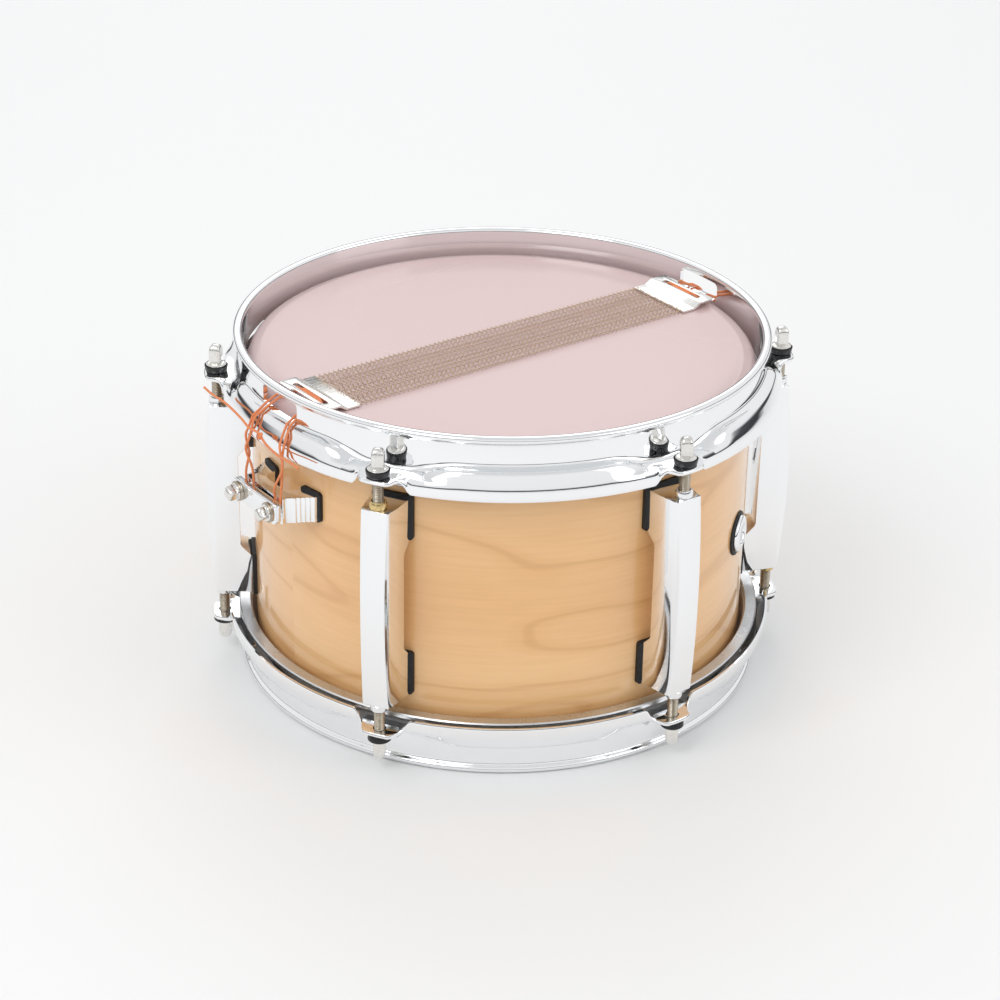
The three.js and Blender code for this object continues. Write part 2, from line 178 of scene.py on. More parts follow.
def shaded(tree, colour, shade, amount):
    """The colour multiplied by the shade, by an amount from 0 to 1."""
    n = node(tree, "ShaderNodeMix", data_type="RGBA", blend_type="MULTIPLY")
    n.inputs[0].default_value = amount
    tree.links.new(colour, n.inputs[6])
    tree.links.new(shade, n.inputs[7])
    return n.outputs[2]


def vary_roughness(tree, shader, value, low, high):
    tree.links.new(spread(tree, value, low, high), shader.inputs["Roughness"])


def bump(tree, shader, height, strength, distance):
    n = node(tree, "ShaderNodeBump", Strength=strength, Distance=distance)
    tree.links.new(height, n.inputs["Height"])
    tree.links.new(n.outputs["Normal"], shader.inputs["Normal"])


def chrome(name, base, low, high):
    m, b, t = material(name, base, 0.05, metal=1.0)
    vary_roughness(t, b, noise(t, coords(t), scale=60, detail=4, rough=0.6), low, high)
    return m


def worn_metal(name, base, dark, rough, scale=500):
    m, b, t = material(name, base, rough, metal=1.0)
    v = coords(t)
    speck = noise(t, v, scale, detail=5, rough=0.65)
    t.links.new(ramp(t, speck, [(0.35, dark), (0.62, base)]), b.inputs["Base Color"])
    vary_roughness(t, b, noise(t, v, scale * 1.7, detail=3), rough - 0.08, rough + 0.14)
    bump(t, b, speck, strength=0.06, distance=0.0001)
    return m


def brushed(name, base, rough, scale):
    m, b, t = material(name, base, rough, metal=1.0)
    lines = noise(t, coords(t, scale), scale=1, detail=3, rough=0.6)
    vary_roughness(t, b, lines, rough - 0.1, rough + 0.12)
    bump(t, b, lines, strength=0.12, distance=0.00005)
    return m


def dark_polymer(name, base, rough, scale, strength):
    m, b, t = material(name, base, rough)
    grain = noise(t, coords(t), scale, detail=4, rough=0.6)
    vary_roughness(t, b, grain, rough - 0.08, rough + 0.1)
    bump(t, b, grain, strength, distance=0.0001)
    return m


def maple():
    """Lacquered maple whose grain runs round the shell: angle and height are the grain's coordinates."""
    m, b, t = material("maple", (0.8, 0.5, 0.25), 0.3, Coat_Weight=0.9, Coat_Roughness=0.03,
                       Coat_IOR=1.5)
    tex = node(t, "ShaderNodeTexCoord")
    parts = node(t, "ShaderNodeSeparateXYZ")
    t.links.new(tex.outputs["Object"], parts.inputs["Vector"])
    angle = maths(t, "ARCTAN2", parts.outputs["Y"], parts.outputs["X"])
    flat = node(t, "ShaderNodeCombineXYZ")
    t.links.new(maths(t, "MULTIPLY", angle, SHELL_R * MM), flat.inputs["X"])
    t.links.new(parts.outputs["Z"], flat.inputs["Y"])

    def layer(scale, detail=4.0, rough=0.55):
        mapping = node(t, "ShaderNodeMapping")
        mapping.inputs["Scale"].default_value = scale
        t.links.new(flat.outputs[0], mapping.inputs["Vector"])
        return noise(t, mapping.outputs[0], 1.0, detail, rough)

    broad = layer((4, 16, 1))
    fine = layer((18, 520, 1), detail=5, rough=0.7)
    cloud = layer((9, 9, 1), detail=2)
    # slow contour lines of a wide, flat hill give the cathedral figure of rotary-cut veneer
    hill = layer((5, 20, 1), detail=1.5, rough=0.4)
    figure = spread(t, maths(t, "SINE", maths(t, "MULTIPLY", hill, 30)), 0, 1, at=(-1, 1))
    colour = ramp(t, broad, [(0.25, (0.88, 0.50, 0.215)), (0.5, (0.94, 0.565, 0.26)),
                             (0.75, (0.97, 0.62, 0.305))])
    lines = ramp(t, figure, [(0.0, (0.84, 0.76, 0.66)), (0.035, (0.95, 0.92, 0.87)), (0.3, (1, 1, 1))])
    colour = shaded(t, colour, lines, 0.75)
    colour = shaded(t, colour, ramp(t, fine, [(0.35, (0.90, 0.87, 0.82)), (0.6, (1, 1, 1))]), 0.5)
    colour = shaded(t, colour, ramp(t, cloud, [(0.3, (0.93, 0.90, 0.86)), (0.7, (1, 1, 1))]), 0.6)
    t.links.new(colour, b.inputs["Base Color"])
    vary_roughness(t, b, fine, 0.28, 0.42)
    bump(t, b, fine, strength=0.04, distance=0.00005)
    return m


def film(name, tint, alpha, rough):
    """Thin hazy film: partly see-through, with a soft gloss."""
    m, b, t = material(name, tint, rough, Coat_Weight=0.25, Coat_Roughness=0.12)
    haze = noise(t, coords(t), scale=5, detail=0)
    vary_roughness(t, b, haze, rough - 0.03, rough + 0.06)
    t.links.new(ramp(t, haze, [(0.2, tuple(c * 0.985 for c in tint)), (0.8, tint)]), b.inputs["Base Color"])
    b.inputs["Alpha"].default_value = alpha
    return m


def braid():
    m, b, t = material("braided_cord", (0.80, 0.20, 0.055), 0.62)
    weave = node(t, "ShaderNodeTexVoronoi", Scale=2600.0)
    t.links.new(coords(t), weave.inputs["Vector"])
    # painted light and shade: each weave cell is painted lighter and paler in its middle, a painted sheen
    # on the strand, and darker where the cells meet, painted shade between the strands
    shade = ramp(t, weave.outputs["Distance"], [(0.0, (0.95, 0.40, 0.17)), (0.7, (0.80, 0.23, 0.085))])
    t.links.new(shade, b.inputs["Base Color"])
    bump(t, b, weave.outputs["Distance"], strength=0.5, distance=0.0001)
    return m


CHROME = chrome("chrome", (0.92, 0.93, 0.94), low=0.03, high=0.08)
HARDWARE = chrome("hardware_chrome", (0.88, 0.89, 0.90), low=0.06, high=0.14)
ROD_STEEL = worn_metal("rod_steel", (0.84, 0.83, 0.80), (0.77, 0.75, 0.72), rough=0.16)
THREAD = worn_metal("rod_thread", (0.58, 0.52, 0.43), (0.46, 0.41, 0.34), rough=0.3, scale=900)
BRASS = worn_metal("brass", (0.78, 0.60, 0.30), (0.62, 0.45, 0.20), rough=0.22)
ALUMINIUM = brushed("brushed_aluminium", (0.66, 0.67, 0.68), rough=0.3, scale=(90, 90, 2600))
PLATE = brushed("bright_plate", (0.93, 0.92, 0.89), rough=0.26, scale=(60, 1500, 60))
WIRE = worn_metal("snare_wire", (0.74, 0.58, 0.40), (0.46, 0.34, 0.23), rough=0.3, scale=1400)
NYLON = dark_polymer("black_nylon", (0.005, 0.005, 0.006), rough=0.3, scale=900, strength=0.1)
RUBBER = dark_polymer("black_rubber", (0.010, 0.010, 0.011), rough=0.55, scale=1500, strength=0.35)
MAPLE = maple()
SNARE_FILM = film("snare_film", (0.80, 0.595, 0.585), alpha=0.80, rough=0.24)
BATTER_FILM = film("batter_film", (0.80, 0.79, 0.78), alpha=0.97, rough=0.5)
CORD = braid()


# ---------------------------------------------------------------- mesh helpers
HARD_EDGE = 32  # edges that turn more than this stay sharp


def build(name, verts, faces, mat, angle=HARD_EDGE):
    me = bpy.data.meshes.new(name)
    me.from_pydata([(x * MM, y * MM, z * MM) for x, y, z in verts], [], faces)
    bm = bmesh.new()
    bm.from_mesh(me)
    bmesh.ops.remove_doubles(bm, verts=bm.verts, dist=1e-6)
    bmesh.ops.recalc_face_normals(bm, faces=bm.faces)
    bm.to_mesh(me)
    bm.free()
    smooth(me, angle)
    me.materials.append(mat)
    return linked(name, me)


def linked(name, data):
    ob = bpy.data.objects.new(name, data)
    scene.collection.objects.link(ob)
    return ob


def smooth(me, angle):
    me.polygons.foreach_set("use_smooth", [True] * len(me.polygons))
    me.set_sharp_from_angle(angle=math.radians(angle))
    me.update()


def ring_faces(count, points):
    """Faces of a closed ring of sections, each a closed loop of so many points."""
    faces = []
    for i in range(count):
        a, b = i * points, ((i + 1) % count) * points
        for k in range(points):
            n = (k + 1) % points
            faces.append((a + k, b + k, b + n, a + n))
    return faces


def lathe(profile, steps):
    """Closed profile of (radius, z) turned about Z; a profile that touches the axis is closed along it."""
    verts = []
    for i in range(steps):
        a = 2 * math.pi * i / steps
        verts += [(r * math.cos(a), r * math.sin(a), z) for r, z in profile]
    return verts, ring_faces(steps, len(profile))


def cylinder(name, radius, low, high, mat, steps, inner=0):
    return build(name, *lathe([(inner, low), (radius, low), (radius, high), (inner, high)], steps), mat)


def moved(ob, matrix, name):
    """A copy of the object's mesh, moved by a matrix, as a new object."""
    me = ob.data.copy()
    me.transform(matrix)
    if matrix.determinant() < 0:
        me.flip_normals()
    return linked(name, me)


def drop(*objects):
    for ob in objects:
        bpy.data.objects.remove(ob, do_unlink=True)


def apply_modifiers(ob, angle):
    deps = bpy.context.evaluated_depsgraph_get()
    me = bpy.data.meshes.new_from_object(ob.evaluated_get(deps))
    ob.modifiers.clear()
    ob.data = me
    smooth(me, angle)
    return ob


def boolean(ob, cutters, operation="DIFFERENCE", angle=HARD_EDGE):
    for cutter in cutters:
        mod = ob.modifiers.new("cut", "BOOLEAN")
        mod.operation, mod.solver, mod.object = operation, "EXACT", cutter
    apply_modifiers(ob, angle)
    drop(*cutters)
    return ob


def bevelled(ob, width, segments, angle, limit):
    """Flat areas merged, then edges that turn more than the limit rounded to the width."""
    bm = bmesh.new()
    bm.from_mesh(ob.data)
    bmesh.ops.dissolve_limit(bm, angle_limit=math.radians(1.0), verts=bm.verts, edges=bm.edges)
    bm.to_mesh(ob.data)
    bm.free()
    mod = ob.modifiers.new("bevel", "BEVEL")
    mod.width, mod.segments, mod.limit_method = width * MM, segments, "ANGLE"
    mod.angle_limit = math.radians(limit)
    mod.miter_outer = "MITER_ARC"
    return apply_modifiers(ob, angle)


def prism(name, outline, low, high, mat, plane="XY"):
    """Closed outline carried from low to high; plane says which two axes the outline lies in."""
    point = {
        "XY": lambda a, b, c: (a, b, c),
        "XZ": lambda a, b, c: (a, c, b),
        "YZ": lambda a, b, c: (c, a, b),
    }[plane]
    n = len(outline)
    verts = [point(a, b, low) for a, b in outline] + [point(a, b, high) for a, b in outline]
    faces = [(i, (i + 1) % n, n + (i + 1) % n, n + i) for i in range(n)]
    faces += [tuple(range(n)), tuple(range(2 * n - 1, n - 1, -1))]
    return build(name, verts, faces, mat)


def round_rect(half, low, high, corner, steps=5, centre=0.0):
    """Outline with rounded corners: centre - half to centre + half one way, low to high the other."""
    outline = []
    for ca, cb, start in ((half - corner, high - corner, 0), (corner - half, high - corner, 90),
                          (corner - half, low + corner, 180), (half - corner, low + corner, 270)):
        for i in range(steps + 1):
            a = math.radians(start + 90 * i / steps)
            outline.append((centre + ca + corner * math.cos(a), cb + corner * math.sin(a)))
    return outline


def circle(radius, z, n):
    return [(radius * math.cos(2 * math.pi * k / n), radius * math.sin(2 * math.pi * k / n), z)
            for k in range(n)]


def square_ring(half, z, corner):
    """Ring of points round a square; corner is 0 for a nearly sharp square and 1 for a circle."""
    n = 32
    power = 2 + (1 - corner) * 7
    ring = []
    for i in range(n):
        a = 2 * math.pi * i / n + math.pi / 4
        c, s = abs(math.cos(a)), abs(math.sin(a))
        r = half / (c ** power + s ** power) ** (1 / power)
        ring.append((r * math.cos(a), r * math.sin(a), z))
    return ring


def rings_to_mesh(name, rings, mat, angle):
    """Rings of points joined one to the next, closed at both ends."""
    n = len(rings[0])
    verts = [v for ring in rings for v in ring]
    faces = [(i * n + k, i * n + (k + 1) % n, (i + 1) * n + (k + 1) % n, (i + 1) * n + k)
             for i in range(len(rings) - 1) for k in range(n)]
    faces += [tuple(reversed(range(n))), tuple(range((len(rings) - 1) * n, len(rings) * n))]
    return build(name, verts, faces, mat, angle)


def joined(name, objects):
    """One object whose mesh holds all of the given ones, each with its own material."""
    mats = []
    bm = bmesh.new()
    for ob in objects:
        start = len(bm.faces)
        bm.from_mesh(ob.data)
        bm.faces.ensure_lookup_table()
        mat = ob.data.materials[0]
        if mat not in mats:
            mats.append(mat)
        for face in bm.faces[start:]:
            face.material_index = mats.index(mat)
    me = bpy.data.meshes.new(name)
    bm.to_mesh(me)
    bm.free()
    for mat in mats:
        me.materials.append(mat)
    drop(*objects)
    return linked(name, me)


def place(ob, body, slot, *nodes):
    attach(ob, body)
    if nodes:
        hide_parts(*nodes)


# ---------------------------------------------------------------- cords
CORD_R = 0.6
CORD_X, STRAND_END_Z = 141.8, 125.2  # where the clamps grip the strands
SLOT_X, SLOT_Z = 115, 169.4  # the cords' line along the end plate's slot, before the shift
SLOT_LANE = 0.68  # half the distance between the two cords in the slot
UNDER_PLATE_Z = 167.6
OUTER_RISE_Y, INNER_RISE_Y = 12.6, 9.2  # how far from the slot's middle the cords come up through it


def through(points):
    """Centripetal Catmull-Rom line through the points."""
    per = 8  # line points from one given point to the next
    pts = [Vector(p) for p in points]
    pts = [pts[0] * 2 - pts[1]] + pts + [pts[-1] * 2 - pts[-2]]
    line = []
    for p0, p1, p2, p3 in zip(pts, pts[1:], pts[2:], pts[3:]):
        t0 = 0.0
        t1 = t0 + (p1 - p0).length ** 0.5
        t2 = t1 + (p2 - p1).length ** 0.5
        t3 = t2 + (p3 - p2).length ** 0.5
        for i in range(per):
            t = t1 + (t2 - t1) * i / per
            a1 = p0 * ((t1 - t) / (t1 - t0)) + p1 * ((t - t0) / (t1 - t0))
            a2 = p1 * ((t2 - t) / (t2 - t1)) + p2 * ((t - t1) / (t2 - t1))
            a3 = p2 * ((t3 - t) / (t3 - t2)) + p3 * ((t - t2) / (t3 - t2))
            b1 = a1 * ((t2 - t) / (t2 - t0)) + a2 * ((t - t0) / (t2 - t0))
            b2 = a2 * ((t3 - t) / (t3 - t1)) + a3 * ((t - t1) / (t3 - t1))
            line.append(b1 * ((t2 - t) / (t2 - t1)) + b2 * ((t - t1) / (t2 - t1)))
    line.append(pts[-2])
    return line


def cord(name, points, stands_for, moves_with=None):
    """A free cord along the points; with moves_with, it is made a mesh tube, and nothing makes it follow
    that body.
    """
    line = through(points)
    curve = bpy.data.curves.new(name, "CURVE")
    curve.dimensions = "3D"
    curve.bevel_depth, curve.bevel_resolution = CORD_R * MM, 3
    curve.use_fill_caps = True
    spline = curve.splines.new("POLY")
    spline.points.add(len(line) - 1)
    for p, v in zip(spline.points, line):
        p.co = (v.x * MM, v.y * MM, v.z * MM, 1)
    curve.materials.append(CORD)
    ob = linked(name, curve)
    path = None
    if moves_with:
        tube = linked(name, bpy.data.meshes.new_from_object(ob))
        drop(ob)
        ob, path = tube, [tuple(v * MM) for v in line]
        ob.name = name
        smooth(ob.data, 60)
        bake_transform(ob)
    else:
        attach(ob, ROOT)
    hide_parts(stands_for)


def loop_route(side, left, right, lane, rise_y):
    """Strand to the end plate, up through its slot, along it, down again and the strand back."""
    slot_x = SLOT_X + side * SNARE_SHIFT

    def in_slot(way):
        return [
            (side * (slot_x + 10), way * (rise_y + 0.2), UNDER_PLATE_Z - 0.3),
            (side * (slot_x + 4), way * (rise_y + 0.2), UNDER_PLATE_Z),
            (side * (slot_x + lane + 0.5), way * rise_y, UNDER_PLATE_Z + 0.4),
            (side * (slot_x + lane), way * (rise_y - 1.2), UNDER_PLATE_Z + 1.2),
            (side * (slot_x + lane), way * (rise_y - 3), SLOT_Z),
        ]

    def placed(strand):
        return [(side * x, y, z) for x, y, z in strand]

    return (placed(left) + in_slot(1) + [(side * (slot_x + lane), 0, SLOT_Z)]
            + in_slot(-1)[::-1] + placed(right)[::-1])


def outer_loop(side, left, right):
    return loop_route(side, left, right, SLOT_LANE, OUTER_RISE_Y)


def inner_loop(side, left, right):
    return loop_route(side, left, right, -SLOT_LANE, INNER_RISE_Y)


def strainer_strand(clamp_y, skirt_y, gate_y):
    return [
        (CORD_X, clamp_y, STRAND_END_Z), (CORD_X, clamp_y, 131), (141.6, skirt_y, 145),
        (141, skirt_y, 156), (138.6, skirt_y, 161), (135, gate_y, 164), (131.5, gate_y, 165)]


# Strands run from the clamp over the skirt and the ledge to the hoop's gate, as distance from
# the drum's axis along X, then Y and Z.
butt_outer_left = [
    (CORD_X, 13.4, STRAND_END_Z), (CORD_X, 14, 130.5), (141.4, 12.8, 136.5), (141.1, 11.4, 141.5),
    (141, 13.4, 145.5), (141, 14.4, 150), (141, 11, 156), (139, 10.6, 160.9), (135.5, 9.6, 164),
    (131.5, 11.4, 165)]
butt_outer_right = [
    (CORD_X, -16.4, STRAND_END_Z), (141.6, -16.8, 131), (141, -17.2, 138.5), (140.8, -17.6, 149.8),
    (140, -18, 156), (138, -17.4, 160.9), (134.6, -15.4, 164), (131.2, -13.4, 165)]
butt_inner_left = [
    (CORD_X, 7.2, STRAND_END_Z), (CORD_X, 7.2, 131), (142, 8.4, 136.5), (142.6, 11.4, 141.8),
    (142.6, 12, 145.2), (142.3, 9.8, 149.5), (141.6, 7.8, 156), (139.4, 8.4, 161), (135.5, 7.4, 164),
    (131.5, 8.6, 165)]
butt_inner_right = [
    (CORD_X, -13.2, STRAND_END_Z), (142, -11.6, 130.2), (142.3, -13.8, 135.4), (142.6, -17.6, 141),
    (142.4, -20.2, 146.2), (142, -18.8, 152), (141.3, -16.4, 156), (138.6, -15.2, 160.9),
    (135.2, -13.2, 164), (131.2, -11, 165)]
# The loose end lies along the hoop's ledge from near lug 3, and hangs down past the butt's strands.
butt_tail = [
    (-137.9, 57.5, 157.6), (-140, 47, 158.6), (-142, 30, 160.4), (-143.2, 14.5, 159),
    (-143.8, 6.5, 157.4), (-144, -2, 158), (-144, -8, 155), (-143.6, -18, 152.8), (-143.2, -28, 153),
    (-142.8, -35, 152.3)]

cord("butt_cord_outer", outer_loop(-1, butt_outer_left, butt_outer_right), "butt_cord_1")
cord("butt_cord_inner", inner_loop(-1, butt_inner_left, butt_inner_right), "butt_cord_2")
cord("butt_cord_ends", butt_tail, "butt_cord_tail")
cord("throw_off_cord_outer",
     outer_loop(1, strainer_strand(9.6, 11.6, 12), strainer_strand(-9.6, -11.6, -12)),
     "strainer_cord_1", CARRIAGE)
cord("throw_off_cord_inner",
     inner_loop(1, strainer_strand(7.2, 9.2, 9.4), strainer_strand(-7.2, -9.2, -9.4)),
     "strainer_cord_2", CARRIAGE)


def make_cord_knot():
    """Small overhand knot in the loose cord: a line wound as a trefoil, as thick as the cord."""
    centre = Vector((-144.1, -3.6, 157.4))
    size, depth = 0.55, 0.45
    around, across = 60, 8
    verts = []
    for i in range(around):
        a = 2 * math.pi * i / around
        p = Vector((depth * math.sin(3 * a), size * (math.sin(a) + 2 * math.sin(2 * a)),
                    size * (math.cos(a) - 2 * math.cos(2 * a))))
        d = Vector((3 * depth * math.cos(3 * a), size * (math.cos(a) + 4 * math.cos(2 * a)),
                    size * (4 * math.sin(2 * a) - math.sin(a)))).normalized()
        u = d.cross(Vector((1, 0, 0))).normalized()
        v = d.cross(u)
        for k in range(across):
            b = 2 * math.pi * k / across
            verts.append(tuple(p + CORD_R * (u * math.cos(b) + v * math.sin(b)) + centre))
    place(build("butt_cord_knot", verts, ring_faces(around, across), CORD, 180), ROOT, "cord")


make_cord_knot()


# ---------------------------------------------------------------- shell and heads
def make_shell():
    low = [(119.5, 16.7), (123.0, 13.3), (123.6, 13.2), (124.4, 13.9), (125.3, 15.6), (SHELL_R, 16.4)]
    high = [(r, HEIGHT - z) for r, z in reversed(low)]
    sides = [(SHELL_R, 30 + 20 * i) for i in range(7)]
    ob = build("shell_veneer", *lathe(low + sides + high, WIDE_STEPS), MAPLE)
    hole = cylinder("hole", 6.3, 102.5, 142.5, MAPLE, 48)
    hole.data.transform(AT_VENT)
    boolean(ob, [hole])
    place(ob, ROOT, "maple", "shell")


def make_head(side, look, flip):
    """Film with its raised ring and collar, and the flesh hoop that holds it."""
    outer = [(0, 166.3), (60, 166.3), (110, 166.3), (118, 166.28), (119.2, 166.7), (120.4, 166.7),
             (121.6, 166.3), (123.2, 166.2), (124.8, 165.4), (126.0, 163.8), (127.0, 161.0),
             (127.9, 157.0), (128.2, 152.4)]
    inner = [(127.9, 152.4), (127.6, 156.9), (126.6, 160.8), (125.6, 163.6), (124.5, 165.1),
             (123.1, 165.85), (121.5, 165.95), (120.4, 166.3), (119.2, 166.3), (118, 165.95),
             (60, 165.95), (0, 165.95)]
    flesh = [(128.3, 150.8), (128.9, 150.2), (133.9, 150.2), (134.5, 150.8), (134.5, 152.4),
             (134.0, 152.9), (128.7, 152.9), (128.3, 152.5)]
    head = build("head", *lathe(outer + inner, WIDE_STEPS), look, 60)
    rim = build("flesh", *lathe(flesh, WIDE_STEPS), ALUMINIUM, 40)
    place(moved(head, flip, f"{side}_head"), ROOT, "film", f"{side}_head_film")
    place(moved(rim, flip, f"{side}_head_hoop"), ROOT, "aluminium", f"{side}_flesh_hoop")
    drop(head, rim)


make_shell()
make_head("snare", SNARE_FILM, SAME)
make_head("batter", BATTER_FILM, FLIP)


# ---------------------------------------------------------------- counterhoops
EAR_TOP, EAR_UNDER = 157.9, 155.6
# distance along the ring from an ear's middle, and the radius that the ear or the skirt reaches there
EAR_EDGE = [(0, 148.0), (4.5, 147.9), (6.6, 147.4), (7.9, 146.2), (8.6, 144.6), (9.3, 142.9),
            (10.6, 141.5), (12.4, 140.7), (15, 140.3), (18, 140.2), (200, 140.2)]


def ease(x, low, high):
    """Smooth step from 0 at low to 1 at high."""
    x = min(1.0, max(0.0, (x - low) / (high - low)))
    return x * x * (3 - 2 * x)


def ear_edge(t):
    (t0, r0), (t1, r1) = next(pair for pair in zip(EAR_EDGE, EAR_EDGE[1:]) if t <= pair[1][0])
    return r0 + (r1 - r0) * (t - t0) / (t1 - t0)


def hoop_section(t):
    """Points (radius, z) round the hoop's section, t along the ring from the nearest ear."""
    dip = 1 - ease(t, 9, 40)  # 1 where the ledge has come down to the ear's level
    flat = 1 - ease(t, 9.5, 15.5)  # 1 where the skirt has turned into the flat ear
    edge = ear_edge(t)

    def between(pairs, weight):
        return [(mid[0] + (ear[0] - mid[0]) * weight, mid[1] + (ear[1] - mid[1]) * weight)
                for mid, ear in pairs]

    points = between((
        ((131.3, 165.3), (131.3, 163.8)),
        ((131.5, 164.2), (131.3, 162.2)),
        ((132.2, 163.6), (131.35, 160.8)),
        ((134.4, 163.2), (131.6, 159.4)),
        ((136.0, 162.7), (132.3, EAR_TOP + 0.6)),
        ((136.7, 162.0), (133.6, EAR_TOP + 0.15)),
        ((137.6, 160.2), (134.9, EAR_TOP)),
        ((138.5, 158.5), (136.0, EAR_TOP)),
        ((139.2, 157.0), (137.2, EAR_TOP)),
        ((139.6, 156.0), (138.4, EAR_TOP)),
    ), dip)
    points += between((
        ((139.8, 155.3), (139.6, EAR_TOP)),
        ((140.0, 154.2), (edge - 1.6, EAR_TOP)),
        ((140.1, 153.0), (edge - 0.5, EAR_TOP - 0.15)),
        ((140.2, 151.4), (edge, EAR_TOP - 0.7)),
        ((140.2, 150.4), (edge, EAR_UNDER + 0.7)),
        ((139.9, 149.75), (edge - 0.5, EAR_UNDER + 0.1)),
        ((138.9, 149.75), (edge - 1.6, EAR_UNDER)),
        ((138.6, 150.6), (139.8, EAR_UNDER)),
        ((138.4, 152.4), (138.2, EAR_UNDER)),
        ((138.1, 154.2), (136.5, EAR_UNDER)),
    ), flat)
    points += between((
        ((136.9, 158.0), (135.2, EAR_UNDER)),
        ((135.8, 160.4), (134.0, EAR_UNDER)),
        ((135.0, 161.0), (132.5, EAR_UNDER)),
        ((131.0, 160.9), (130.6, EAR_UNDER + 0.4)),
        ((129.0, 161.0), (129.0, EAR_UNDER + 1.4)),
    ), dip)
    # the collar and its rolled rim are the same all the way round
    points += [(129.0, 170), (129.0, 176.0), (128.95, 177.2), (129.2, 178.1), (129.9, 178.65),
               (130.9, 178.8), (132.0, 178.75), (132.9, 178.35), (133.4, 177.6), (133.5, 176.8),
               (133.2, 176.0), (132.6, 175.5), (131.8, 175.1), (131.4, 174.4), (131.3, 173.4)]
    return points


def make_hoop(gates):
    """Hoop of the snare side; with gates, its collar is open for the snares on both sides."""
    steps = 720
    verts, count = [], 0
    for i in range(steps):
        phi = 360 * i / steps
        from_ear = 30 - abs(((phi - 30) % 60) - 30)
        section = hoop_section(ROD_R * math.tan(math.radians(from_ear)))
        count = len(section)
        a = math.radians(phi)
        verts += [(r * math.cos(a), r * math.sin(a), z) for r, z in section]
    ob = build("hoop", verts, ring_faces(steps, count), CHROME, 40)
    cutters = []
    for angle in LUG_ANGLES:
        hole = cylinder("hole", 3.2, 145, 164, CHROME, 32)
        hole.data.transform(turn(angle) @ TO_ROD)
        cutters.append(hole)
    if gates:
        for side in (0, 180):
            gate = prism("gate", round_rect(14.7, 163.95, 174.2, 2.6), 125, 132.4, CHROME, "YZ")
            gate.data.transform(turn(side))
            cutters.append(gate)
    return boolean(ob, cutters, angle=40)


for side, flip, gates in (("snare", SAME, True), ("batter", FLIP, False)):
    hoop = make_hoop(gates)
    place(moved(hoop, flip, f"{side}_side_counterhoop"), ROOT, "chrome", f"{side}_side_hoop")
    drop(hoop)


# ---------------------------------------------------------------- tension rods and washers
def make_rod():
    """Threaded rod with a flange and a square key head, along Z."""
    pitch, n, rings_per_turn = 0.91, 16, 5
    crest_r, depth = 2.74, 0.7
    z0, z1 = 125.2, 156.5
    rings = [circle(1.9, z0 - 0.6, n)]
    for i in range(int((z1 - z0) / pitch * rings_per_turn) + 1):
        z = z0 + i * pitch / rings_per_turn
        ring = []
        for k in range(n):
            phase = ((z - z0) / pitch - k / n) % 1.0
            r = crest_r - depth * abs(2 * phase - 1) ** 1.2
            a = 2 * math.pi * k / n
            ring.append((r * math.cos(a), r * math.sin(a), z))
        rings.append(ring)
    rings.append(circle(2.6, 161.0, n))
    thread = rings_to_mesh("thread", rings, THREAD, 60)
    flange = build("flange", *lathe([(0, 160.7), (4.6, 160.7), (5.05, 161.0), (5.1, 161.8), (4.7, 162.2),
                                     (3.6, 162.5), (0, 162.6)], 40), ROD_STEEL)
    head = rings_to_mesh("head", [
        square_ring(2.85, 162.4, 0.5), square_ring(3.0, 163.0, 0.25), square_ring(3.02, 168.4, 0.22),
        square_ring(2.95, 169.6, 0.3), square_ring(2.65, 170.6, 0.5), square_ring(2.1, 171.4, 0.7),
        square_ring(1.3, 171.9, 0.9), square_ring(0.5, 172.05, 1.0)], ROD_STEEL, 40)
    return joined("rod", [thread, flange, head])


def make_washer():
    profile = [(3.1, 158.1), (4.9, 158.05), (5.3, 158.4), (5.5, 159.4), (5.75, 160.6), (5.8, 161.2),
               (5.45, 161.5), (5.2, 161.2), (5.15, 160.6), (3.1, 160.6)]
    return build("washer", *lathe(profile, 48), NYLON, 40)


rod, washer = make_rod(), make_washer()
for i, angle in enumerate(LUG_ANGLES):
    n = i + 1
    key_turn = turn((37 * i) % 90)  # the square heads don't stand in line
    for side, flip in (("snare", SAME), ("batter", FLIP)):
        where = flip @ turn(angle) @ TO_ROD
        place(moved(rod, where @ key_turn, f"{side}_rod_{n}"), f"{side}_tension_rod_{n}", "steel",
              f"{side}_side_rod_{n}")
        place(moved(washer, where, f"{side}_washer_{n}"), ROOT, "nylon", f"{side}_side_washer_{n}")
drop(rod, washer)


# ---------------------------------------------------------------- lugs
def shell_pad(name, outline, face_x, inner, outer):
    """Rubber pad of the outline in Y and Z, on the +X side of the shell between two radii."""
    pad = prism(name, outline, 118, face_x, RUBBER, "YZ")
    ring = cylinder("ring", outer, 80, 160, RUBBER, WIDE_STEPS, inner)
    return boolean(pad, [ring], "INTERSECT")


def make_lug():
    """Bowed bar on two feet, wider at the shell than in front, with a bore at each end."""
    top, low = LUG_TOP, HEIGHT - LUG_TOP
    middle, half = (top + low) / 2, (top - low) / 2
    front = []
    for i in range(41):
        z = low + (top - low) * i / 40
        front.append((149.1 - 2.9 * ((z - middle) / half) ** 2, z))
    side = front + [(127.0, top), (127.0, top - 20.5), (132.4, top - 26.2), (132.9, top - 27.4),
                    (132.9, low + 27.4), (132.4, low + 26.2), (127.0, low + 20.5), (127.0, low)]
    bar = prism("lug", side, -12, 12, CHROME, "XZ")
    edge = [(120, 9.2), (130, 9.1), (139, 8.1), (144.5, 7.1), (147.0, 6.6), (150.5, 6.0)]
    taper = prism("taper", [(x, -y) for x, y in edge] + edge[::-1], 0, HEIGHT, CHROME)
    boolean(bar, [taper], "INTERSECT")
    bevelled(bar, 1.0, segments=4, angle=50, limit=30)
    bores = []
    for z in (top - 19, low - 11):
        bore = cylinder("bore", 3.9, z, z + 30, CHROME, 32)
        bore.data.transform(TO_ROD)
        bores.append(bore)
    return boolean(bar, bores, angle=50)


